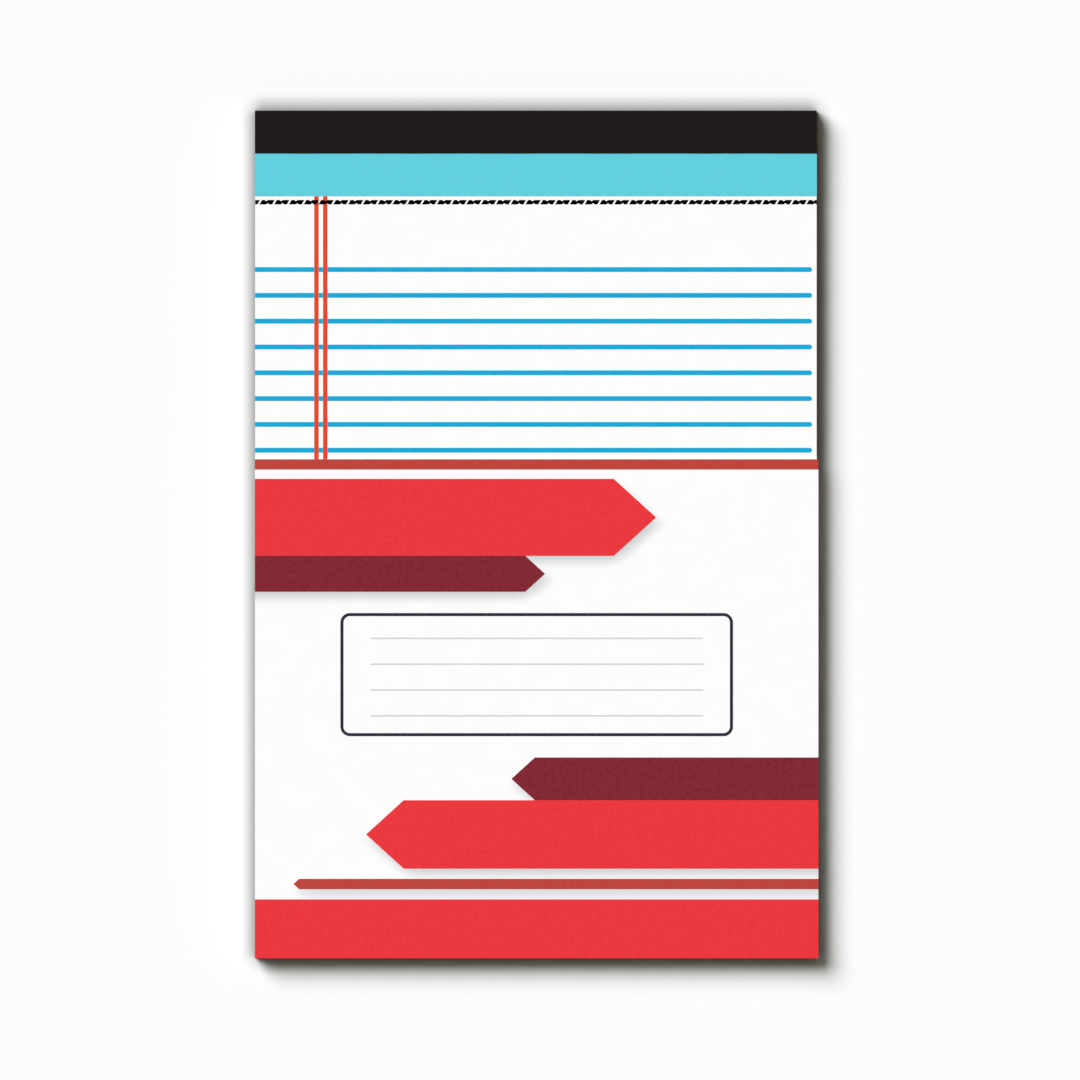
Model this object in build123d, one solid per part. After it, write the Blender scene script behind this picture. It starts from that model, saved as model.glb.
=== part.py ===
from build123d import *
import os

# A small perforated writing pad, bound at its head, lying on its back with a printed label on its front.
# Millimetres. X runs across the pad, Y along it towards the bound head, Z up through its thickness.
# The origin is the middle of the pad's outline, on the plane that its back rests on.

# Block of sheets and its board
pad_width = 131.5
pad_length = 198.4              # over the binding tape
sheet_count = 50
sheet_pitch = 0.10              # one sheet with the air that lies on it
board_thickness = 0.90

# Binding tape, one strip folded over the head
tape_thickness = 0.15
tape_front_width = 10.05        # from the outside of the fold to the edge of the strip
tape_back_width = 12.0
fold_radius = 0.35              # inside of both folds

# Stitches of flat wire through the head, hidden by the tape
stitch_spacing = 66.0           # middle of one crown to the middle of the other
stitch_from_head = 5.2
stitch_crown = 12.0             # over the middles of the two legs
stitch_clinch = 4.4             # length of a turned-in leg end
wire_width = 0.60               # along the pad
wire_thickness = 0.40           # the way the wire bends
wire_bend_radius = 0.50         # middle of the wire
wire_clearance = 0.04           # all round the wire in its seat

# Tear-off perforation, a row of leaning slits with short ties of paper between them
perforation_from_head = 21.46
slit_length = 3.02
slit_width = 1.06
slit_lean = 0.60                # how far the head side of a slit stands to the right of its foot side
slit_neck = 0.45                # width that the two notches leave in the middle of a slit
notch_length = 0.80
notch_offset = 0.165            # foot side's notch to the right of the slit's middle, head side's to the left
tie_length = 0.44
first_tie_from_left = 1.10      # to the middle of the tie

# Print on the page
ink_film = 0.05
strip_from_head = 20.05         # lower edge of the coloured head strip
first_rule_from_head = 37.20
rule_pitch = 6.04
rule_thickness = 1.11
rule_end_gap = 1.15             # from the round end of a rule to the right edge
last_rule_from_foot = 5.0       # no rule lies nearer to the foot than this
margin_from_left = 14.38        # to the middle of the first margin line
margin_spacing = 2.06
margin_thickness = 1.02

# Front label, a printed sheet over the lower part of the page
label_length = 116.8
label_thickness = 0.20
label_overhang = 0.35           # past the right edge of the page

# Ribbons of print from the left side of the label, below a stripe along its top
top_stripe_height = 2.4
top_gap = 2.2                   # between the stripe and the first ribbon
top_ribbon_height = 18.0
top_ribbon_end_gap = 38.0       # from the ribbon's tip to the right side of the label
second_ribbon_height = 8.4
second_ribbon_end_gap = 64.0

# Ribbons of print from the right side of the label, above a band along its foot
foot_band_height = 13.8
foot_gap = 2.4                  # below and above the foot stripe
foot_stripe_height = 2.4
foot_stripe_end_gap = 9.0       # from the stripe's tip to the left side of the label
foot_ribbon_height = 16.0
foot_ribbon_end_gap = 26.0
last_ribbon_height = 10.0
last_ribbon_end_gap = 60.0
ribbon_tip_slope = 0.55         # how far a tip stands out, for each millimetre of ribbon height

# Empty title box in the white field between the ribbons, with pale lines to write on
title_inset = 20.0              # from both sides of the label
title_gap = 5.0                 # from the ribbons above and below
title_frame = 0.70
title_corner_radius = 2.2
hairline_pitch = 6.04
hairline_thickness = 0.35
hairline_inset = 7.0            # from both sides of the title box
hairline_foot_gap = 2.0         # no line lies nearer to the foot of the title box than this

# Levels and edges that the pieces share
left = -pad_width / 2
right = pad_width / 2
head = pad_length / 2
foot = -pad_length / 2
sheet_head = head - tape_thickness
sheet_top = board_thickness + sheet_count * sheet_pitch
tape_front_edge = head - tape_front_width
tape_back_edge = head - tape_back_width
label_right = right + label_overhang
label_top = foot + label_length
label_back = sheet_top + ink_film
label_face = label_back + label_thickness


def carried_across(outline):
    """A piece of one section all the way across: its outline in Y and Z, carried from edge to edge."""
    return extrude(Plane.YZ.offset(left) * outline, amount=pad_width)


def field(x_from, x_to, y_from, y_to):
    """A rectangle between two limits across and two limits along the pad."""
    return Pos((x_from + x_to) / 2, (y_from + y_to) / 2) * Rectangle(x_to - x_from, y_to - y_from)


def slab(area, z_from, z_to):
    """A flat area made solid between two levels."""
    return extrude(Pos(0, 0, z_from) * area, amount=z_to - z_from)


def printed(area, level):
    """The film of ink that an area of print leaves on a surface at this level."""
    return slab(area, level, level + ink_film)


def section(along_from, along_to, z_from, z_to):
    """A rectangle in a side view of the pad, between two limits along the view and two levels."""
    return field(along_from, along_to, z_from, z_to)


# The wire of one stitch goes down through the stack and turns inwards on the back.
crown_level = sheet_top - wire_clearance - wire_thickness / 2
clinch_level = tape_thickness + wire_clearance + wire_thickness / 2
stitch_line = head - stitch_from_head
stitch_middles = (-stitch_spacing / 2, stitch_spacing / 2)


def across_stitch_line(outline, width):
    """An outline in X and Z, carried along Y by this width with the line of stitches in its middle."""
    return extrude(Plane.XZ.offset(-stitch_line - width / 2) * outline, amount=width)


def stitch_wire(middle, room):
    """Flat wire bent to a stitch: its line in X and Z given its thickness and width, with room all round."""
    leg_left = middle - stitch_crown / 2
    leg_right = middle + stitch_crown / 2
    reach = stitch_clinch + room
    line = FilletPolyline(
        (leg_left + reach, clinch_level),
        (leg_left, clinch_level),
        (leg_left, crown_level),
        (leg_right, crown_level),
        (leg_right, clinch_level),
        (leg_right - reach, clinch_level),
        radius=wire_bend_radius,
    )
    return across_stitch_line(trace(line, line_width=wire_thickness + 2 * room), wire_width + 2 * room)


def stitch_seat(middle):
    """The room that a stitch has pressed for itself: its own form, open to the front and to the back."""
    width = wire_width + 2 * wire_clearance
    half_crown = stitch_crown / 2 + wire_thickness / 2 + wire_clearance
    half_bare = stitch_crown / 2 - stitch_clinch - wire_clearance
    crown_trough = section(middle - half_crown, middle + half_crown, crown_level, sheet_top)
    clinch_trough = section(middle - half_crown, middle + half_crown, tape_thickness, clinch_level)
    clinch_trough -= section(middle - half_bare, middle + half_bare, tape_thickness, clinch_level)
    return stitch_wire(middle, wire_clearance) + across_stitch_line(crown_trough + clinch_trough, width)


stitches = Compound([stitch_wire(middle, 0) for middle in stitch_middles])
seats = [stitch_seat(middle) for middle in stitch_middles]

# Every sheet is slit through along the perforation. The row runs off both side edges.
# A slit is two short cuts that run into each other at a neck. Half a turn brings it back onto itself.
slit_pitch = slit_length + tie_length
slit_from_tie = slit_pitch / 2
slit_count = int((pad_width - first_tie_from_left) / slit_pitch) + 2
first_slit = left + first_tie_from_left - slit_from_tie
perforation_line = head - perforation_from_head
slit_foot_side = [
    (-slit_length / 2 - slit_lean / 2, -slit_width / 2),
    (notch_offset - notch_length / 2, -slit_width / 2),
    (notch_offset, -slit_neck / 2),
    (notch_offset + notch_length / 2, -slit_width / 2),
    (slit_length / 2 - slit_lean / 2, -slit_width / 2),
]
slit_head_side = [(-x, -y) for x, y in slit_foot_side]
slit = Polygon(*slit_foot_side, *slit_head_side, align=None)
slit_places = [Pos(first_slit + place * slit_pitch, perforation_line) for place in range(slit_count)]
slits = Sketch() + [place * slit for place in slit_places]

# The block of sheets is rounded along its head by the press that folds the tape.
block_outline = section(foot, sheet_head, board_thickness, sheet_top)
block_fold = block_outline.vertices().group_by(Axis.X)[-1].sort_by(Axis.Y)[-1]
sheets = carried_across(fillet(block_fold, fold_radius))
sheets -= slab(slits, board_thickness, sheet_top)
sheets -= seats

# The board has a shallow bed along its back, so that the tape lies flush there.
board_outline = section(foot, sheet_head, 0, board_thickness)
board_outline -= section(tape_back_edge, sheet_head, 0, tape_thickness)
board_fold = board_outline.vertices().group_by(Axis.X)[-1].sort_by(Axis.Y)[0]
board = carried_across(fillet(board_fold, fold_radius))
board -= seats

# The tape follows the front, the head and the back of the stack at half its own thickness.
half_tape = tape_thickness / 2
tape_line = FilletPolyline(
    (tape_front_edge, sheet_top + half_tape),
    (sheet_head + half_tape, sheet_top + half_tape),
    (sheet_head + half_tape, half_tape),
    (tape_back_edge, half_tape),
    radius=fold_radius + half_tape,
)
tape = carried_across(trace(tape_line, line_width=tape_thickness))

# The head strip is printed from the edge of the tape down to just above the perforation.
strip_foot = head - strip_from_head
head_strip = printed(field(left, right, strip_foot, tape_front_edge), sheet_top)

# Two margin lines run from the head strip to the foot, open where the page is slit.
margin_middles = [left + margin_from_left + place * margin_spacing for place in range(2)]
margins = Sketch() + [
    field(middle - margin_thickness / 2, middle + margin_thickness / 2, foot, strip_foot)
    for middle in margin_middles
]
margin_lines = printed(margins - slits, sheet_top)

# The rules start at the left edge, end round just short of the right edge and give way to the margin lines.
rule_room = pad_length - first_rule_from_head - last_rule_from_foot
rule_count = int(rule_room / rule_pitch) + 1
rule_end = right - rule_end_gap - rule_thickness / 2
rules = Sketch()
for place in range(rule_count):
    level = head - first_rule_from_head - place * rule_pitch
    rules += field(left, rule_end, level - rule_thickness / 2, level + rule_thickness / 2)
    rules += Pos(rule_end, level) * Circle(rule_thickness / 2)
page_rules = printed(rules - margins, sheet_top)

# The label lies over the rules, flush with the left edge and the foot of the page.
label = slab(field(left, label_right, foot, label_top), label_back, label_face)


def ribbon(top, height, root, tip):
    """A band of print from one side of the label, its root, to a tip that is cut to a point."""
    towards_tip = 1 if tip > root else -1
    shoulder = tip - towards_tip * ribbon_tip_slope * height
    return make_face(
        Polyline(
            (root, top),
            (shoulder, top),
            (tip, top - height / 2),
            (shoulder, top - height),
            (root, top - height),
            close=True,
        )
    )


# Levels of the ribbons, from the top of the label downwards and from its foot upwards
top_ribbon_top = label_top - top_stripe_height - top_gap
second_ribbon_top = top_ribbon_top - top_ribbon_height
second_ribbon_foot = second_ribbon_top - second_ribbon_height
foot_band_top = foot + foot_band_height
foot_stripe_top = foot_band_top + foot_gap + foot_stripe_height
foot_ribbon_top = foot_stripe_top + foot_gap + foot_ribbon_height
last_ribbon_top = foot_ribbon_top + last_ribbon_height

red_areas = Sketch() + [
    ribbon(top_ribbon_top, top_ribbon_height, left, label_right - top_ribbon_end_gap),
    ribbon(foot_ribbon_top, foot_ribbon_height, label_right, left + foot_ribbon_end_gap),
    field(left, label_right, foot, foot_band_top),
]
maroon_areas = Sketch() + [
    ribbon(second_ribbon_top, second_ribbon_height, left, label_right - second_ribbon_end_gap),
    ribbon(last_ribbon_top, last_ribbon_height, label_right, left + last_ribbon_end_gap),
]
brick_areas = Sketch() + [
    field(left, label_right, label_top - top_stripe_height, label_top),
    ribbon(foot_stripe_top, foot_stripe_height, label_right, left + foot_stripe_end_gap),
]

# The title box fills the white field, and its writing lines keep an even pitch below its top.
title_left = left + title_inset
title_right = label_right - title_inset
title_top = second_ribbon_foot - title_gap
title_foot = last_ribbon_top + title_gap
title_middle = Pos((title_left + title_right) / 2, (title_top + title_foot) / 2)
title_width = title_right - title_left
title_height = title_top - title_foot
title_box = title_middle * RectangleRounded(title_width, title_height, title_corner_radius)
title_box -= title_middle * RectangleRounded(
    title_width - 2 * title_frame,
    title_height - 2 * title_frame,
    title_corner_radius - title_frame,
)
hairline_count = int((title_height - hairline_foot_gap) / hairline_pitch)
hairline_limits = (title_left + hairline_inset, title_right - hairline_inset)
hairlines = Sketch()
for place in range(1, hairline_count + 1):
    level = title_top - place * hairline_pitch
    hairlines += field(*hairline_limits, level, level + hairline_thickness)

pieces = {
    "ruled_sheets": sheets,
    "backing_board": board,
    "wire_stitches": stitches,
    "binding_tape": tape,
    "head_strip_print": head_strip,
    "rule_print": page_rules,
    "margin_print": margin_lines,
    "front_label": label,
    "label_red_print": printed(red_areas, label_face),
    "label_maroon_print": printed(maroon_areas, label_face),
    "label_brick_print": printed(brick_areas, label_face),
    "label_slate_print": printed(title_box, label_face),
    "label_grey_print": printed(hairlines, label_face),
}

os.makedirs("parts", exist_ok=True)
for name, piece in pieces.items():
    export_step(piece, f"parts/{name}.step")
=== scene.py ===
import bpy
import numpy as np
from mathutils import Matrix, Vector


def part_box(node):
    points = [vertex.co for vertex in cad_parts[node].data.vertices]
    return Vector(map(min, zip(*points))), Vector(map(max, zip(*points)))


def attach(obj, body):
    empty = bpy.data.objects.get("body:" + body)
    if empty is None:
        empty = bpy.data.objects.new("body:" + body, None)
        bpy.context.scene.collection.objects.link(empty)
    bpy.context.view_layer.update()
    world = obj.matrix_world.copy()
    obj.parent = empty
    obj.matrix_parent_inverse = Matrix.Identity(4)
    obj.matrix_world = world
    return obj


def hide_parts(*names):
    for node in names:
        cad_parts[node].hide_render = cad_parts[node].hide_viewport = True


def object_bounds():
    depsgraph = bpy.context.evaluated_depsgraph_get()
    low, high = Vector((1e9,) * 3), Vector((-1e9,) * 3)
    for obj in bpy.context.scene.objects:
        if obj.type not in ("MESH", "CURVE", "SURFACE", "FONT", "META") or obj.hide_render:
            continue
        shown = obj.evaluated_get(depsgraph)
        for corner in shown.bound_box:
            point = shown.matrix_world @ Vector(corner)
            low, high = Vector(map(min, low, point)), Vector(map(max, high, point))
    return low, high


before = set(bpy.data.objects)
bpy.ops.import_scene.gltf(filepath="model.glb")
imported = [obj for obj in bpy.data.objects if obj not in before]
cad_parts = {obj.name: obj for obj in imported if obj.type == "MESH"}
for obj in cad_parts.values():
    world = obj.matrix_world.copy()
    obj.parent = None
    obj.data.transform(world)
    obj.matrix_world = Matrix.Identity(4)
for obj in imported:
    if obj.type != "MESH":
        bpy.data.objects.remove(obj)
cad_low, cad_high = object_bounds()
MM = 0.001

# Backing board: a sheet of grey chipboard, pressed from recycled fibre and cut together with the sheets.
# Its face shows loose fibres and flecks. The stitches hold it, and the tape lies in a bed along its back.
BOARD_PALE = "#A59E92"
BOARD_DARK = "#857D72"
BOARD_FLECK = "#554D44"
# Painted shade: the board's top face, seen only through the slits, is drawn in this black.
BOARD_PAINTED_SHADE = "#0D0C0B"
CLOUD_SIZE = 6.0 * MM
# A real fibre is about a seventh as wide, too fine to show, so fibres are drawn as bundles.
FIBRE_WIDTH = 0.22 * MM
FIBRE_LENGTH = 2.4 * MM
FIBRE_DARK = 0.84
FIBRE_PALE = 1.14
FLECK_SIZE = 1.1 * MM
FLECK_COVER = 0.7
PAINTED_SHADE_DEPTH = 0.02 * MM
BOARD_RELIEF = 0.03 * MM


def linear(code):
    """An sRGB hex code as linear red, green and blue, with full alpha."""
    channels = np.array([int(code[place : place + 2], 16) for place in (1, 3, 5)]) / 255
    low = channels / 12.92
    high = ((channels + 0.055) / 1.055) ** 2.4
    return (*np.where(channels <= 0.04045, low, high).tolist(), 1.0)


def add_node(tree, kind, inputs, **settings):
    """Adds one node to a tree with its settings. Each input is linked to a socket or set to a value."""
    made = tree.nodes.new(kind)
    for name, value in settings.items():
        setattr(made, name, value)
    for name, value in inputs.items():
        if isinstance(value, bpy.types.NodeSocket):
            tree.links.new(value, made.inputs[name])
        else:
            made.inputs[name].default_value = value
    return made


def start_material(name, roughness, shine):
    """A new material: its tree, its surface shader with this gloss, and Object coordinates in metres. Paper
    and ink have little shine, because the room is white all round and a usual shine would wash them out."""
    material = bpy.data.materials.new(name)
    material.use_nodes = True
    tree = material.node_tree
    tree.nodes.clear()
    gloss = {"Roughness": roughness, "Specular IOR Level": shine}
    surface = add_node(tree, "ShaderNodeBsdfPrincipled", gloss)
    add_node(tree, "ShaderNodeOutputMaterial", {"Surface": surface.outputs["BSDF"]})
    place = add_node(tree, "ShaderNodeTexCoord", {}).outputs["Object"]
    return material, tree, surface, place


def chipboard():
    """Grey chipboard: cloudy grey with fibres lying both ways and small dark flecks, on a matt, hairy face.
    The face under the sheets shows only through the slits, so all of that face is drawn black, a painted
    shade for the bottom of the slits."""
    material, tree, surface, place = start_material("grey_chipboard", roughness=0.92, shine=0.15)
    clouds = add_node(
        tree, "ShaderNodeTexNoise", {"Vector": place, "Scale": 1 / CLOUD_SIZE, "Detail": 3.0}
    )
    tone = add_node(
        tree,
        "ShaderNodeMix",
        {"Factor": clouds.outputs["Fac"], "A": linear(BOARD_DARK), "B": linear(BOARD_PALE)},
        data_type="RGBA",
    )
    colour = tone.outputs["Result"]
    relief = clouds.outputs["Fac"]
    for across, along in ((FIBRE_WIDTH, FIBRE_LENGTH), (FIBRE_LENGTH, FIBRE_WIDTH)):
        stretch = add_node(
            tree,
            "ShaderNodeMapping",
            {"Vector": place, "Scale": (1 / across, 1 / along, 1 / FIBRE_WIDTH)},
        )
        fibres = add_node(
            tree,
            "ShaderNodeTexNoise",
            {"Vector": stretch.outputs["Vector"], "Scale": 1.0, "Detail": 2.0},
        )
        shade = add_node(
            tree,
            "ShaderNodeMapRange",
            {
                "Value": fibres.outputs["Fac"],
                "From Min": 0.3,
                "From Max": 0.7,
                "To Min": FIBRE_DARK,
                "To Max": FIBRE_PALE,
            },
        )
        fibred = add_node(
            tree,
            "ShaderNodeMix",
            {"Factor": 1.0, "A": colour, "B": shade.outputs["Result"]},
            data_type="RGBA",
            blend_type="MULTIPLY",
        )
        colour = fibred.outputs["Result"]
        piled = add_node(tree, "ShaderNodeMath", {0: relief, 1: fibres.outputs["Fac"]}, operation="ADD")
        relief = piled.outputs["Value"]
    flecks = add_node(
        tree,
        "ShaderNodeTexNoise",
        {"Vector": place, "Scale": 1 / FLECK_SIZE, "Detail": 5.0, "Roughness": 0.65},
    )
    spots = add_node(
        tree,
        "ShaderNodeMapRange",
        {
            "Value": flecks.outputs["Fac"],
            "From Min": 0.64,
            "From Max": 0.70,
            "To Min": 0.0,
            "To Max": FLECK_COVER,
        },
    )
    flecked = add_node(
        tree,
        "ShaderNodeMix",
        {"Factor": spots.outputs["Result"], "A": colour, "B": linear(BOARD_FLECK)},
        data_type="RGBA",
    )
    # Painted shade: all of the board's top face, down to this level, turns black.
    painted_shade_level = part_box("backing_board")[1].z - PAINTED_SHADE_DEPTH
    height = add_node(tree, "ShaderNodeSeparateXYZ", {"Vector": place}).outputs["Z"]
    in_painted_shade = add_node(tree, "ShaderNodeMath", {0: height, 1: painted_shade_level}, operation="GREATER_THAN")
    with_painted_shade = add_node(
        tree,
        "ShaderNodeMix",
        {"Factor": in_painted_shade.outputs["Value"], "A": flecked.outputs["Result"], "B": linear(BOARD_PAINTED_SHADE)},
        data_type="RGBA",
    )
    tree.links.new(with_painted_shade.outputs["Result"], surface.inputs["Base Color"])
    bump = add_node(tree, "ShaderNodeBump", {"Height": relief, "Strength": 0.5, "Distance": BOARD_RELIEF})
    tree.links.new(bump.outputs["Normal"], surface.inputs["Normal"])
    return material


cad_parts["backing_board"].material_slots[0].material = chipboard()

# Sheets: fifty leaves of white writing paper, cut as one block, so that its sides show every edge.
# A row of leaning slits, painted black inside as shade, runs across below the head so that a leaf tears off.
SHEET_COUNT = 50
SHEETS_IN_LIFT = 5
PAPER_WHITE = "#FDFDFC"
PAPER_SHADE = "#F1F0EC"
# The cut sides are greyer than the page: in part the paper's own tone, in part painted shade of the gaps
# between sheets.
EDGE_PALE = "#F0EEEA"
EDGE_DARK = "#C6C3BC"
# Painted shade: the walls inside the slits are drawn in this black.
SLIT_PAINTED_SHADE = "#14120F"
SLIT_LENGTH = 3.02 * MM
SLIT_WIDTH = 1.06 * MM
SLIT_LEAN = 0.60 * MM
SLIT_NECK = 0.45 * MM
NOTCH_LENGTH = 0.80 * MM
NOTCH_OFFSET = 0.165 * MM
SLIT_PITCH = 3.46 * MM
FIRST_TIE = 1.10 * MM
SLIT_LINE = cad_high.y - 21.46 * MM
EDGE_GROOVE = 0.025 * MM
EDGE_JITTER = 0.03 * MM
LIFT_JITTER = 0.06 * MM
EDGE_SEED = 11
FOLD_RADIUS = 0.35 * MM
STITCH_LINE = cad_high.y - 5.2 * MM
STITCH_CROWN = 12.0 * MM
STITCH_MIDDLES = np.array([-33.0, 33.0]) * MM
SEAT_DEPTH = 0.50 * MM
SEAT_WIDTH = 0.68 * MM
SEAT_THICKNESS = 0.48 * MM
FORMATION_SIZE = 5.0 * MM
FORMATION_COVER = 0.08
# The tooth of writing paper is nearer to 0.05 mm, too fine to show, so it is drawn coarser.
TOOTH_SIZE = 0.35 * MM
TOOTH_RELIEF = 0.02 * MM
BAND_DEPTH = 0.45 * MM
BAND_LENGTH = 60.0 * MM
BAND_RELIEF = 0.03 * MM
# The export bakes a piece through a texture map of this name. The shares of the block's map are the height
# of its front and back, the front's width and the gap round a part.
BAKE_MAP = "OFBake"
MAP_PAGE = 0.76
MAP_FRONT = 0.66
MAP_GAP = 0.004
# A wall that lies further than this share of the block from its middle is one of the cut sides.
CUT_SIDE = 0.49


def lattice_faces(points, solid):
    """Faces of a closed piece made of the solid cells of a lattice of columns, rows and levels: each side of
    a solid cell that has no solid neighbour becomes a quad, with its corners in the order that faces
    outwards."""
    number = np.arange(points[..., 0].size).reshape(points.shape[:3])
    around = np.pad(solid, 1)
    unit = np.eye(3, dtype=int)
    quads = []
    for axis in range(3):
        first, second = unit[axis - 2], unit[axis - 1]
        ring = [0 * first, first, first + second, second]
        for far in (0, 1):
            neighbour = np.roll(around, 1 - 2 * far, axis)[1:-1, 1:-1, 1:-1]
            cells = np.argwhere(solid & ~neighbour) + far * unit[axis]
            corners = [number[tuple((cells + step).T)] for step in ring[:: 2 * far - 1]]
            quads.append(np.stack(corners, axis=-1))
    return np.concatenate(quads)


def new_piece(name, points, quads, materials, node):
    """A mesh object in place of a CAD node, from lattice points and quads, without the points that no quad
    uses."""
    used, corners = np.unique(quads, return_inverse=True)
    mesh = bpy.data.meshes.new(name)
    mesh.from_pydata(points.reshape(-1, 3)[used].tolist(), [], corners.reshape(-1, 4).tolist())
    for material in materials:
        mesh.materials.append(material)
    piece = bpy.data.objects.new(name, mesh)
    bpy.context.scene.collection.objects.link(piece)
    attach(piece, "root")
    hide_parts(node)
    return piece


def slit_columns(low, high):
    """Lines of the lattice across the perforation, five for each slit: its left end, the notches' two sides
    with the neck between them, and its right end. A slit's foot side is a straight line with one notch, and
    its head side is the same line turned by half a turn. Gives each line's place far from the slits, its X
    on the foot side and on the head side, and its distance along the pad on both. The pad's two sides close
    the row."""
    half = SLIT_WIDTH / 2
    foot_x = np.array([
        -(SLIT_LENGTH + SLIT_LEAN) / 2,
        NOTCH_OFFSET - NOTCH_LENGTH / 2,
        NOTCH_OFFSET,
        NOTCH_OFFSET + NOTCH_LENGTH / 2,
        (SLIT_LENGTH - SLIT_LEAN) / 2,
    ])
    foot_y = np.array([-half, -half, -SLIT_NECK / 2, -half, -half])
    count = int((high.x - low.x - FIRST_TIE) / SLIT_PITCH) + 2
    middles = low.x + FIRST_TIE + SLIT_PITCH * (np.arange(count) - 0.5)
    on_foot = middles[:, None] + foot_x
    on_head = middles[:, None] - foot_x[::-1]
    inside = (np.minimum(on_foot, on_head) > low.x) & (np.maximum(on_foot, on_head) < high.x)
    foot_y = np.broadcast_to(foot_y, inside.shape)
    closed = [np.array([low.x, high.x])] * 3 + [np.array([-half, -half]), np.array([half, half])]
    lines = [(on_foot + on_head) / 2, on_foot, on_head, foot_y, -foot_y[:, ::-1]]
    return [np.concatenate([ends[:1], line[inside], ends[1:]]) for line, ends in zip(lines, closed)]


def sheet_lattice():
    """The block of sheets. Its columns are the lines of the slits and of the stitches' legs, its rows bound
    the slits and the seats of the stitches, and each sheet has two levels, its lower face and its middle. On
    the four outer sides every level stands in: furthest in the groove between two sheets, and a little on a
    sheet's edge, part of it common to a lift of sheets. The head's front edge is a quarter round."""
    low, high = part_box("ruled_sheets")
    plain, on_foot, on_head, foot_y, head_y = slit_columns(low, high)
    legs = STITCH_MIDDLES[:, None] + STITCH_CROWN / 2 * np.array([-1, 1])
    leg_sides = legs.ravel()[:, None] + SEAT_THICKNESS / 2 * np.array([-1, 1])
    columns = np.sort(np.concatenate([plain, leg_sides.ravel()]))
    seat_rows = STITCH_LINE + SEAT_WIDTH / 2 * np.array([-1, 1])
    rows = np.array([low.y, SLIT_LINE, SLIT_LINE, *seat_rows, high.y])
    levels = np.linspace(low.z, high.z, 2 * SHEET_COUNT + 1)
    x, y, z = np.meshgrid(columns, rows, levels, indexing="ij")
    x[:, 1] = np.interp(columns, plain, on_foot)[:, None]
    x[:, 2] = np.interp(columns, plain, on_head)[:, None]
    y[:, 1] += np.interp(columns, plain, foot_y)[:, None]
    y[:, 2] += np.interp(columns, plain, head_y)[:, None]

    random = np.random.default_rng(EDGE_SEED)
    lifts = LIFT_JITTER * random.random((4, SHEET_COUNT // SHEETS_IN_LIFT))
    edges = np.repeat(lifts, SHEETS_IN_LIFT, axis=1) + EDGE_JITTER * random.random((4, SHEET_COUNT))
    stands_in = np.empty((4, levels.size))
    stands_in[:, 1::2] = edges
    stands_in[:, 2:-1:2] = np.maximum(edges[:, :-1], edges[:, 1:]) + EDGE_GROOVE
    stands_in[:, [0, -1]] = edges[:, [0, -1]]
    above_fold = np.clip((levels - (high.z - FOLD_RADIUS)) / FOLD_RADIUS, 0, 1)
    left, right, foot, head = stands_in
    head += FOLD_RADIUS * (1 - np.sqrt(1 - above_fold**2))
    x[0] += left
    x[-1] -= right
    y[:, 0] += foot
    y[:, -1] -= head

    slit_row = 1
    seat_row = 3
    solid = np.ones((columns.size - 1, rows.size - 1, levels.size - 1), bool)
    cell = (columns[:-1] + columns[1:]) / 2
    from_tie = (cell - low.x - FIRST_TIE) % SLIT_PITCH
    solid[np.abs(from_tie - SLIT_PITCH / 2) < SLIT_LENGTH / 2, slit_row] = False
    in_leg = (np.abs(cell[:, None] - legs.ravel()) < SEAT_THICKNESS / 2).any(axis=1)
    solid[in_leg, seat_row] = False
    from_crown = np.abs(cell[:, None] - STITCH_MIDDLES).min(axis=1)
    under_crown = from_crown < (STITCH_CROWN + SEAT_THICKNESS) / 2
    in_seat = (levels[:-1] + levels[1:]) / 2 > high.z - SEAT_DEPTH
    solid[np.ix_(under_crown, [seat_row], in_seat)] = False
    return np.stack([x, y, z], axis=-1), solid


def flat_layout(corners, in_slit):
    """The block's own texture map: its front and back side by side, and above them a band for each cut side,
    one for the walls of the stitches' seats and one for those of the slits. A face lies on the part for the
    way that it faces, at its share of the block's width, length and thickness."""
    low, high = (np.array(corner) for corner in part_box("ruled_sheets"))
    share = (corners - low) / (high - low)
    facing = np.cross(corners[:, 2] - corners[:, 0], corners[:, 3] - corners[:, 1])
    axis = np.abs(facing).argmax(axis=1)
    each = np.arange(axis.size)
    forward = (facing[each, axis] > 0).astype(int)
    inside = (axis < 2) & (np.abs(share - 0.5).max(axis=1)[each, axis] < CUT_SIDE)
    steps = np.linspace(MAP_PAGE, 1, 7)
    bands = [(0, lower, 1, upper) for lower, upper in zip(steps[:-1], steps[1:])]
    left, right, foot, head, seats, slits = bands
    back = (MAP_FRONT, 0, 1, MAP_PAGE)
    front = (0, 0, MAP_FRONT, MAP_PAGE)
    outer_room = np.array([(left, right), (foot, head), (back, front)])[axis, forward]
    inner_room = np.array([seats, slits])[in_slit.astype(int)]
    room = np.where(inside[:, None], inner_room, outer_room)[:, None]
    along = np.where((axis == 0)[:, None], share[..., 1], share[..., 0])
    up = np.where((axis == 2)[:, None], share[..., 1], share[..., 2])
    start = room[..., :2] + MAP_GAP
    end = room[..., 2:] - MAP_GAP
    return start + (end - start) * np.stack([along, up], axis=-1)


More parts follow.
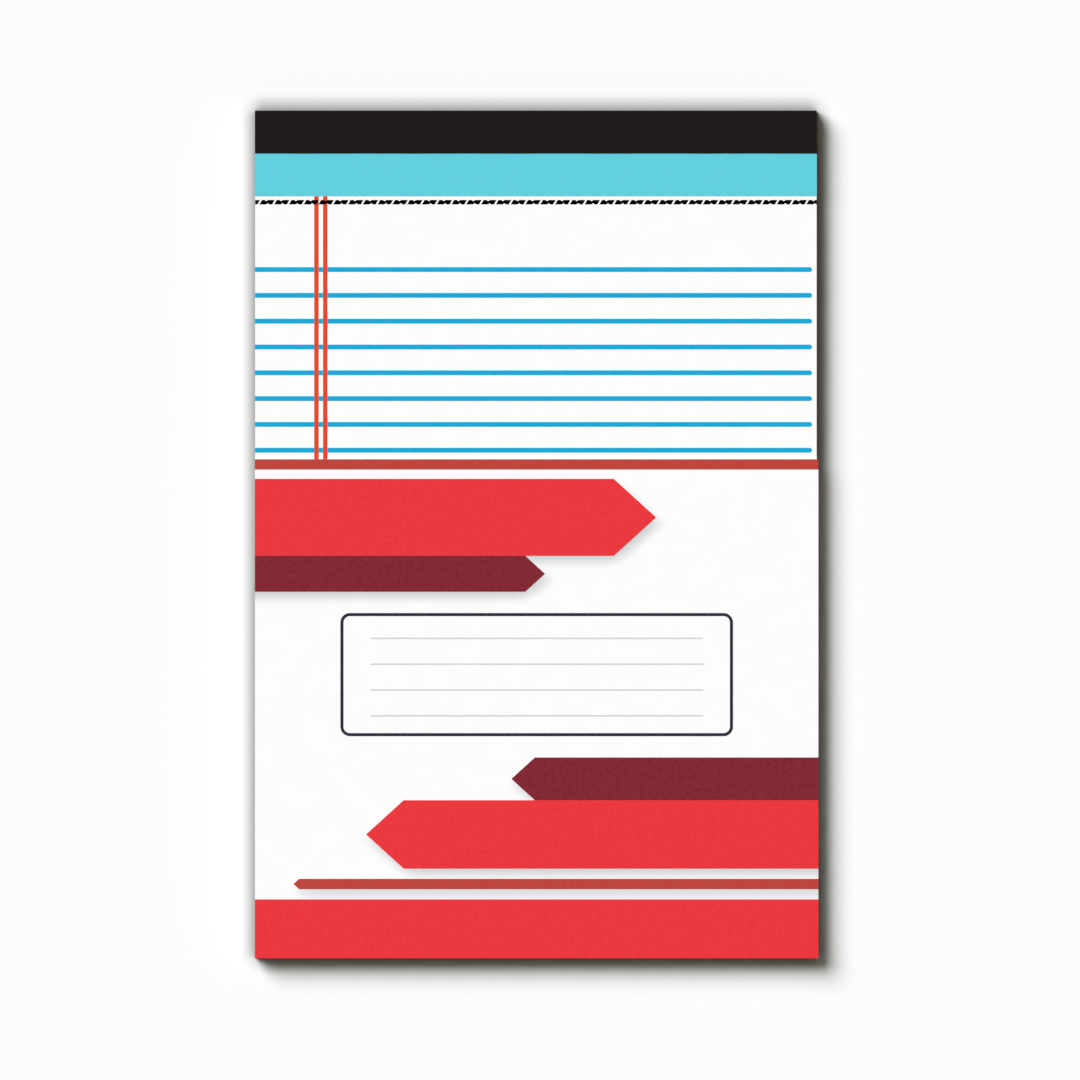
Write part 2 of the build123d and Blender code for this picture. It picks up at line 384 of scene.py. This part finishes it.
def writing_paper():
    """Uncoated white writing paper: a faint cloudy formation under a fine tooth."""
    material, tree, surface, place = start_material("white_writing_paper", roughness=0.92, shine=0.04)
    formation = add_node(
        tree,
        "ShaderNodeTexNoise",
        {"Vector": place, "Scale": 1 / FORMATION_SIZE, "Detail": 4.0, "Roughness": 0.6},
    )
    cloud = add_node(
        tree,
        "ShaderNodeMapRange",
        {
            "Value": formation.outputs["Fac"],
            "From Min": 0.35,
            "From Max": 0.65,
            "To Min": 0.0,
            "To Max": FORMATION_COVER,
        },
    )
    colour = add_node(
        tree,
        "ShaderNodeMix",
        {"Factor": cloud.outputs["Result"], "A": linear(PAPER_WHITE), "B": linear(PAPER_SHADE)},
        data_type="RGBA",
    )
    tree.links.new(colour.outputs["Result"], surface.inputs["Base Color"])
    tooth = add_node(
        tree, "ShaderNodeTexNoise", {"Vector": place, "Scale": 1 / TOOTH_SIZE, "Detail": 3.0}
    )
    bump = add_node(
        tree,
        "ShaderNodeBump",
        {"Height": tooth.outputs["Fac"], "Strength": 0.2, "Distance": TOOTH_RELIEF},
    )
    tree.links.new(bump.outputs["Normal"], surface.inputs["Normal"])
    return material


def cut_edges():
    """The cut sides of the block: bands along the sheets, pale and darker grey, that fade in and out along a
    side; the grey is in part the paper's own tone and in part painted shade of the gaps between sheets.
    One sheet is too thin to show by itself, so a band is a few sheets deep."""
    material, tree, surface, place = start_material("cut_paper_edges", roughness=0.95, shine=0.04)
    stretch = add_node(
        tree,
        "ShaderNodeMapping",
        {"Vector": place, "Scale": (1 / BAND_LENGTH, 1 / BAND_LENGTH, 1 / BAND_DEPTH)},
    )
    bands = add_node(
        tree,
        "ShaderNodeTexNoise",
        {"Vector": stretch.outputs["Vector"], "Scale": 1.0, "Detail": 3.0, "Roughness": 0.7},
    )
    share = add_node(
        tree, "ShaderNodeMapRange", {"Value": bands.outputs["Fac"], "From Min": 0.35, "From Max": 0.65}
    )
    colour = add_node(
        tree,
        "ShaderNodeMix",
        {"Factor": share.outputs["Result"], "A": linear(EDGE_DARK), "B": linear(EDGE_PALE)},
        data_type="RGBA",
    )
    tree.links.new(colour.outputs["Result"], surface.inputs["Base Color"])
    bump = add_node(
        tree,
        "ShaderNodeBump",
        {"Height": bands.outputs["Fac"], "Strength": 0.4, "Distance": BAND_RELIEF},
    )
    tree.links.new(bump.outputs["Normal"], surface.inputs["Normal"])
    return material


def slit_painted_shade():
    """Black inside the slits, a painted shade for the dark of the holes: matt, and mottled between two
    blacks.
    """
    material, tree, surface, place = start_material("black_slit_painted_shade", roughness=0.95, shine=0.1)
    breaks = add_node(
        tree, "ShaderNodeTexNoise", {"Vector": place, "Scale": 1 / TOOTH_SIZE, "Detail": 2.0}
    )
    colour = add_node(
        tree,
        "ShaderNodeMix",
        {"Factor": breaks.outputs["Fac"], "A": linear(BOARD_PAINTED_SHADE), "B": linear(SLIT_PAINTED_SHADE)},
        data_type="RGBA",
    )
    tree.links.new(colour.outputs["Result"], surface.inputs["Base Color"])
    return material


sheet_points, sheet_cells = sheet_lattice()
sheet_quads = lattice_faces(sheet_points, sheet_cells)
# The finishes in their order: paper on the flat faces, black painted shade in the slits and cut edges on the
# other walls.
finishes = (writing_paper(), slit_painted_shade(), cut_edges())
sheets = new_piece("sheet_block", sheet_points, sheet_quads, finishes, "ruled_sheets")
quad_corners = sheet_points.reshape(-1, 3)[sheet_quads]
upright = np.ptp(quad_corners[..., 2], axis=1) > 0
in_slit = upright & (np.abs(quad_corners[..., 1] - SLIT_LINE).max(axis=1) < SLIT_WIDTH)
finish = np.select([in_slit, upright], [1, 2], 0)
sheets.data.polygons.foreach_set("material_index", finish.astype(np.int32))
sheet_map = sheets.data.uv_layers.new(name=BAKE_MAP, do_init=False)
sheet_map.uv.foreach_set("vector", flat_layout(quad_corners, in_slit).astype(np.float32).ravel())

# Page print: thin ink laid on each leaf before cutting, turquoise at the head, blue for the rules and red
# for the margin. It soaks in a little, so the film is matt and its colour slightly uneven.
PAGE_INKS = {
    "head_strip_print": ("turquoise_page_ink", "#60CFDE"),
    "rule_print": ("blue_page_ink", "#0EA9D6"),
    "margin_print": ("red_page_ink", "#E04726"),
}
INK_MOTTLE = 0.9 * MM
PAPER_THROUGH = 0.016


def printed_ink(name, code, roughness, shine):
    """Offset ink on paper: its colour, broken by a fine mottle that lets a little more of the paper through,
    over the paper's own tooth."""
    material, tree, surface, place = start_material(name, roughness, shine)
    mottle = add_node(
        tree,
        "ShaderNodeTexNoise",
        {"Vector": place, "Scale": 1 / INK_MOTTLE, "Detail": 3.0, "Roughness": 0.65},
    )
    thin = add_node(
        tree,
        "ShaderNodeMapRange",
        {
            "Value": mottle.outputs["Fac"],
            "From Min": 0.35,
            "From Max": 0.75,
            "To Min": 0.0,
            "To Max": PAPER_THROUGH,
        },
    )
    colour = add_node(
        tree,
        "ShaderNodeMix",
        {"Factor": thin.outputs["Result"], "A": linear(code), "B": linear(PAPER_WHITE)},
        data_type="RGBA",
    )
    tree.links.new(colour.outputs["Result"], surface.inputs["Base Color"])
    tooth = add_node(
        tree, "ShaderNodeTexNoise", {"Vector": place, "Scale": 1 / TOOTH_SIZE, "Detail": 2.0}
    )
    bump = add_node(
        tree,
        "ShaderNodeBump",
        {"Height": tooth.outputs["Fac"], "Strength": 0.1, "Distance": TOOTH_RELIEF},
    )
    tree.links.new(bump.outputs["Normal"], surface.inputs["Normal"])
    return material


for node, (ink, code) in PAGE_INKS.items():
    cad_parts[node].material_slots[0].material = printed_ink(ink, code, roughness=0.85, shine=0.04)

# Wire stitches: two lengths of flat galvanised wire, driven through sheets and board and turned in at the
# back. The tape hides them.
ZINC_BRIGHT = "#C9CBCD"
ZINC_DULL = "#9FA3A7"
# The lines that a die leaves are finer than this, too fine to show, so they are drawn coarser.
DRAWN_LINE = 0.06 * MM
DRAWN_LENGTH = 4.0 * MM


def galvanised_wire():
    """Galvanised steel wire: zinc in dull and bright lines, drawn along the wire by the die."""
    material, tree, surface, place = start_material("galvanised_steel_wire", roughness=0.38, shine=0.5)
    surface.inputs["Metallic"].default_value = 1.0
    stretch = add_node(
        tree,
        "ShaderNodeMapping",
        {"Vector": place, "Scale": (1 / DRAWN_LENGTH, 1 / DRAWN_LINE, 1 / DRAWN_LENGTH)},
    )
    lines = add_node(
        tree, "ShaderNodeTexNoise", {"Vector": stretch.outputs["Vector"], "Scale": 1.0, "Detail": 2.0}
    )
    colour = add_node(
        tree,
        "ShaderNodeMix",
        {"Factor": lines.outputs["Fac"], "A": linear(ZINC_DULL), "B": linear(ZINC_BRIGHT)},
        data_type="RGBA",
    )
    tree.links.new(colour.outputs["Result"], surface.inputs["Base Color"])
    return material


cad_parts["wire_stitches"].material_slots[0].material = galvanised_wire()

# Binding tape: one strip of black coated paper, glued over the head and folded from the front to the back.
# Its face is embossed with a fine cross grain, and its two long edges are slit, so they wander a little.
TAPE_BLACK = "#191212"
TAPE_RIDGE = "#211A1A"
TAPE_THICKNESS = 0.15 * MM
TAPE_FRONT_WIDTH = 10.05 * MM
TAPE_STEP = 1.0 * MM
FRONT_POINTS = 12
SIDE_POINTS = 7
BACK_POINTS = 14
FOLD_POINTS = 9
EDGE_WANDER = 0.02 * MM
EDGE_WAVE = 23.0 * MM
# The embossing on such tape is finer than this, too fine to show, so it is drawn coarser.
TAPE_GRAIN = 0.55 * MM
GRAIN_RELIEF = 0.02 * MM
# The bands of a wave texture are this far apart at a scale of 1.
WAVE_PERIOD = np.pi / 10


def tape_lattice():
    """The tape as columns across the pad, rows along a line over the front, round the head and along the
    back, and two levels, its glued side and its face. A fold is a quarter turn about a line inside the stack,
    and every point stands out from that line by the fold's radius and its share of the thickness. The two
    slit edges wander along the pad, each by a sum of two sines."""
    low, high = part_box("binding_tape")
    head = high.y - TAPE_THICKNESS - FOLD_RADIUS
    top = high.z - TAPE_THICKNESS - FOLD_RADIUS
    bottom = low.z + TAPE_THICKNESS + FOLD_RADIUS
    front = np.linspace(high.y - TAPE_FRONT_WIDTH, head, FRONT_POINTS)[:-1]
    back = np.linspace(head, low.y, BACK_POINTS)[1:]
    side = np.linspace(top, bottom, SIDE_POINTS)[1:-1]
    quarter = np.linspace(0, np.pi / 2, FOLD_POINTS)
    round_head = np.full(2 * quarter.size + side.size, head)
    over_front = np.full(front.size + quarter.size, top)
    under_back = np.full(quarter.size + back.size, bottom)
    up_side = np.full(side.size, np.pi / 2)
    turn = np.concatenate([0 * front, quarter, up_side, np.pi / 2 + quarter, 0 * back + np.pi])
    line_y = np.concatenate([front, round_head, back])
    line_z = np.concatenate([over_front, side, under_back])
    reach = FOLD_RADIUS + np.array([0.0, TAPE_THICKNESS])
    columns = np.linspace(low.x, high.x, int((high.x - low.x) / TAPE_STEP) + 1)
    points = np.empty((columns.size, turn.size, reach.size, 3))
    points[..., 0] = columns[:, None, None]
    points[..., 1] = line_y[:, None] + np.sin(turn)[:, None] * reach
    points[..., 2] = line_z[:, None] + np.cos(turn)[:, None] * reach
    wave = 2 * np.pi * columns[:, None] / EDGE_WAVE
    points[:, 0, :, 1] += EDGE_WANDER * (0.6 * np.sin(wave) + 0.4 * np.sin(2.7 * wave + 1.0))
    points[:, -1, :, 1] += EDGE_WANDER * (0.6 * np.sin(0.8 * wave + 2.0) + 0.4 * np.sin(2.3 * wave))
    return points


def coated_tape():
    """Black coated paper tape: an embossed cross grain that catches a low sheen, a little greyer on its
    ridges."""
    material, tree, surface, place = start_material("black_binding_tape", roughness=0.6, shine=0.03)
    grain = [
        add_node(
            tree,
            "ShaderNodeTexWave",
            {
                "Vector": place,
                "Scale": WAVE_PERIOD / TAPE_GRAIN,
                "Distortion": 1.5,
                "Detail": 2.0,
                "Detail Scale": 2.0,
            },
            wave_type="BANDS",
            bands_direction=direction,
        ).outputs["Fac"]
        for direction in ("X", "Y")
    ]
    weave = add_node(tree, "ShaderNodeMath", {0: grain[0], 1: grain[1]}, operation="ADD")
    ridge = add_node(
        tree, "ShaderNodeMapRange", {"Value": weave.outputs["Value"], "From Min": 0.4, "From Max": 2.0}
    )
    colour = add_node(
        tree,
        "ShaderNodeMix",
        {"Factor": ridge.outputs["Result"], "A": linear(TAPE_BLACK), "B": linear(TAPE_RIDGE)},
        data_type="RGBA",
    )
    tree.links.new(colour.outputs["Result"], surface.inputs["Base Color"])
    bump = add_node(
        tree,
        "ShaderNodeBump",
        {"Height": weave.outputs["Value"], "Strength": 0.35, "Distance": GRAIN_RELIEF},
    )
    tree.links.new(bump.outputs["Normal"], surface.inputs["Normal"])
    return material


tape_points = tape_lattice()
tape_quads = lattice_faces(tape_points, np.ones(np.subtract(tape_points.shape[:3], 1), bool))
new_piece("folded_tape", tape_points, tape_quads, (coated_tape(),), "binding_tape")

# Front label: a sheet of white coated stock laid over the lower page, printed with ribbons and a title box.
# The ribbons stand on the white ground with a soft shadow, which is part of the print.
LABEL_WHITE = "#FDFDFD"
LABEL_CLOUD = "#F9FAFA"
LABEL_CLOUD_COVER = 0.5
LABEL_SHADOW = "#A9ABAE"
LABEL_INKS = {
    "label_red_print": ("red_label_ink", "#EA333A"),
    "label_maroon_print": ("maroon_label_ink", "#7F212F"),
    "label_brick_print": ("brick_label_ink", "#BC4139"),
    "label_slate_print": ("slate_label_ink", "#212631"),
    "label_grey_print": ("grey_label_ink", "#D6D9DA"),
}
LABEL_RIBBONS = (
    {"below_top": 4.6 * MM, "height": 18.0 * MM, "from": "left", "end_gap": 38.0 * MM},
    {"below_top": 22.6 * MM, "height": 8.4 * MM, "from": "left", "end_gap": 64.0 * MM},
    {"below_top": 69.8 * MM, "height": 10.0 * MM, "from": "right", "end_gap": 60.0 * MM},
    {"below_top": 79.8 * MM, "height": 16.0 * MM, "from": "right", "end_gap": 26.0 * MM},
    {"below_top": 98.2 * MM, "height": 2.4 * MM, "from": "right", "end_gap": 9.0 * MM},
)
POINT_SLOPE = 1.1
SHADOW_RIGHT = 0.9 * MM
SHADOW_DROP = 1.5 * MM
SHADOW_BLUR = 2.1 * MM
SHADOW_ROUND = 4.0 * MM
SHADOW_DEPTH = 0.62
# A distance, in metres, that is past every ribbon.
FAR_AWAY = 1.0


def ribbon_shadow(tree, place):
    """The blurred shadow printed below the ribbons, each moved down and to the right. The distance outside a
    ribbon is the larger of the distance past its long sides and the distance past its pointed end, rounded
    where they meet. The least of these over all ribbons fades the shadow from one blur inside to one blur
    outside."""
    low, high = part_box("front_label")
    moved = add_node(
        tree, "ShaderNodeVectorMath", {0: place, 1: (-SHADOW_RIGHT, SHADOW_DROP, 0.0)}, operation="ADD"
    )
    axes = add_node(tree, "ShaderNodeSeparateXYZ", {"Vector": moved.outputs["Vector"]}).outputs
    least = FAR_AWAY
    for ribbon in LABEL_RIBBONS:
        way = 1.0 if ribbon["from"] == "left" else -1.0
        tip = high.x - ribbon["end_gap"] if ribbon["from"] == "left" else low.x + ribbon["end_gap"]
        middle = high.y - ribbon["below_top"] - ribbon["height"] / 2
        level = add_node(tree, "ShaderNodeMath", {0: axes["Y"], 1: middle}, operation="SUBTRACT")
        mirrored = add_node(tree, "ShaderNodeMath", {0: middle, 1: axes["Y"]}, operation="SUBTRACT")
        aside = add_node(
            tree,
            "ShaderNodeMath",
            {0: level.outputs["Value"], 1: mirrored.outputs["Value"], 2: SHADOW_ROUND},
            operation="SMOOTH_MAX",
        )
        past_side = add_node(
            tree,
            "ShaderNodeMath",
            {0: aside.outputs["Value"], 1: ribbon["height"] / 2},
            operation="SUBTRACT",
        )
        past_tip = add_node(
            tree, "ShaderNodeMath", {0: axes["X"], 1: way, 2: -way * tip}, operation="MULTIPLY_ADD"
        )
        slanted = add_node(
            tree,
            "ShaderNodeMath",
            {0: aside.outputs["Value"], 1: POINT_SLOPE, 2: past_tip.outputs["Value"]},
            operation="MULTIPLY_ADD",
        )
        past_end = add_node(
            tree,
            "ShaderNodeMath",
            {0: slanted.outputs["Value"], 1: np.hypot(1, POINT_SLOPE)},
            operation="DIVIDE",
        )
        outside = add_node(
            tree,
            "ShaderNodeMath",
            {0: past_side.outputs["Value"], 1: past_end.outputs["Value"], 2: SHADOW_ROUND},
            operation="SMOOTH_MAX",
        )
        nearer = add_node(
            tree, "ShaderNodeMath", {0: outside.outputs["Value"], 1: least}, operation="MINIMUM"
        )
        least = nearer.outputs["Value"]
    fade = add_node(
        tree,
        "ShaderNodeMapRange",
        {
            "Value": least,
            "From Min": -SHADOW_BLUR,
            "From Max": SHADOW_BLUR,
            "To Min": SHADOW_DEPTH,
            "To Max": 0.0,
        },
        interpolation_type="SMOOTHSTEP",
    )
    return fade.outputs["Result"]


def label_stock():
    """White coated label stock: smooth, with a soft sheen, a very faint mottle and the ribbons' printed
    shadow."""
    material, tree, surface, place = start_material("white_label_stock", roughness=0.68, shine=0.04)
    mottle = add_node(
        tree, "ShaderNodeTexNoise", {"Vector": place, "Scale": 1 / FORMATION_SIZE, "Detail": 3.0}
    )
    share = add_node(
        tree,
        "ShaderNodeMapRange",
        {
            "Value": mottle.outputs["Fac"],
            "From Min": 0.3,
            "From Max": 0.7,
            "To Min": 0.0,
            "To Max": LABEL_CLOUD_COVER,
        },
    )
    ground = add_node(
        tree,
        "ShaderNodeMix",
        {"Factor": share.outputs["Result"], "A": linear(LABEL_WHITE), "B": linear(LABEL_CLOUD)},
        data_type="RGBA",
    )
    colour = add_node(
        tree,
        "ShaderNodeMix",
        {"Factor": ribbon_shadow(tree, place), "A": ground.outputs["Result"], "B": linear(LABEL_SHADOW)},
        data_type="RGBA",
    )
    tree.links.new(colour.outputs["Result"], surface.inputs["Base Color"])
    return material


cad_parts["front_label"].material_slots[0].material = label_stock()
for node, (ink, code) in LABEL_INKS.items():
    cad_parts[node].material_slots[0].material = printed_ink(ink, code, roughness=0.68, shine=0.04)

# Floor, light and camera: a pale table with shade painted into its colour close round the pad, one broad soft
# light from the upper left, a weak and warmer light from all round that tints the shadow, and a long lens
# straight above.
FLOOR_WHITE = "#FAFCFB"
FLOOR_SIDE = 8.0
CONTACT_SHADE = 4.2 * MM
CONTACT_DEPTH = 1.45
# The fill and the sun add up to the plain level, at which a face that looks up shows its written colour.
PLAIN_LEVEL = 1.0
FILL = np.array([0.118, 0.10, 0.076])
SUN_HEIGHT = np.radians(46.0)
SUN_TURN = np.radians(135.0)
SUN_WIDTH = np.radians(38.0)
FRAME_PIXELS = 1080
PAD_MIDDLE_PIXEL = (535.9, 534.4)
PIXEL = 0.2340 * MM
LENS = 600.0
SENSOR = 36.0

floor_mesh = bpy.data.meshes.new("floor")
floor_corners = FLOOR_SIDE / 2 * np.array([(-1, -1, 0), (1, -1, 0), (1, 1, 0), (-1, 1, 0)])
floor_mesh.from_pydata(floor_corners.tolist(), [], [(0, 1, 2, 3)])
floor = bpy.data.objects.new("floor", floor_mesh)
bpy.context.scene.collection.objects.link(floor)
floor_material, floor_tree, floor_surface, _ = start_material("pale_table", roughness=0.9, shine=0.1)
# Painted shade: the floor's colour darkens by ambient occlusion close round the pad.
contact = add_node(floor_tree, "ShaderNodeAmbientOcclusion", {"Distance": CONTACT_SHADE}, samples=16)
shade = add_node(
    floor_tree, "ShaderNodeMath", {0: contact.outputs["AO"], 1: CONTACT_DEPTH}, operation="POWER"
)
floor_colour_painted_shade = add_node(
    floor_tree,
    "ShaderNodeVectorMath",
    {"Vector": linear(FLOOR_WHITE)[:3], "Scale": shade.outputs["Value"]},
    operation="SCALE",
)
floor_tree.links.new(floor_colour_painted_shade.outputs["Vector"], floor_surface.inputs["Base Color"])
floor_mesh.materials.append(floor_material)

world = bpy.data.worlds.new("studio")
bpy.context.scene.world = world
world.use_nodes = True
room = world.node_tree
room.nodes.clear()
path = add_node(room, "ShaderNodeLightPath", {})
seen = path.outputs["Is Camera Ray"]
for ray in ("Is Glossy Ray", "Is Transmission Ray"):
    either = add_node(room, "ShaderNodeMath", {0: seen, 1: path.outputs[ray]}, operation="MAXIMUM")
    seen = either.outputs["Value"]
light = add_node(
    room,
    "ShaderNodeMix",
    {"Factor": seen, "A": (*FILL.tolist(), 1.0), "B": (1.0, 1.0, 1.0, 1.0)},
    data_type="RGBA",
)
background = add_node(room, "ShaderNodeBackground", {"Color": light.outputs["Result"], "Strength": 1.0})
add_node(room, "ShaderNodeOutputWorld", {"Surface": background.outputs["Background"]})

lamp = bpy.data.lights.new("window", "SUN")
lamp.energy = np.pi / np.sin(SUN_HEIGHT)
lamp.color = PLAIN_LEVEL - FILL
lamp.angle = SUN_WIDTH
window = bpy.data.objects.new("window", lamp)
window.rotation_euler = (0, np.pi / 2 - SUN_HEIGHT, SUN_TURN)
bpy.context.scene.collection.objects.link(window)

camera = bpy.data.objects.new("camera", bpy.data.cameras.new("camera"))
camera.data.lens = LENS
camera.data.sensor_width = SENSOR
middle_x, middle_y = PAD_MIDDLE_PIXEL
camera.location = (
    (FRAME_PIXELS / 2 - middle_x) * PIXEL,
    (middle_y - FRAME_PIXELS / 2) * PIXEL,
    cad_high.z + FRAME_PIXELS * PIXEL * LENS / SENSOR,
)
bpy.context.scene.collection.objects.link(camera)
bpy.context.scene.camera = camera
bpy.context.scene.view_settings.view_transform = "Standard"
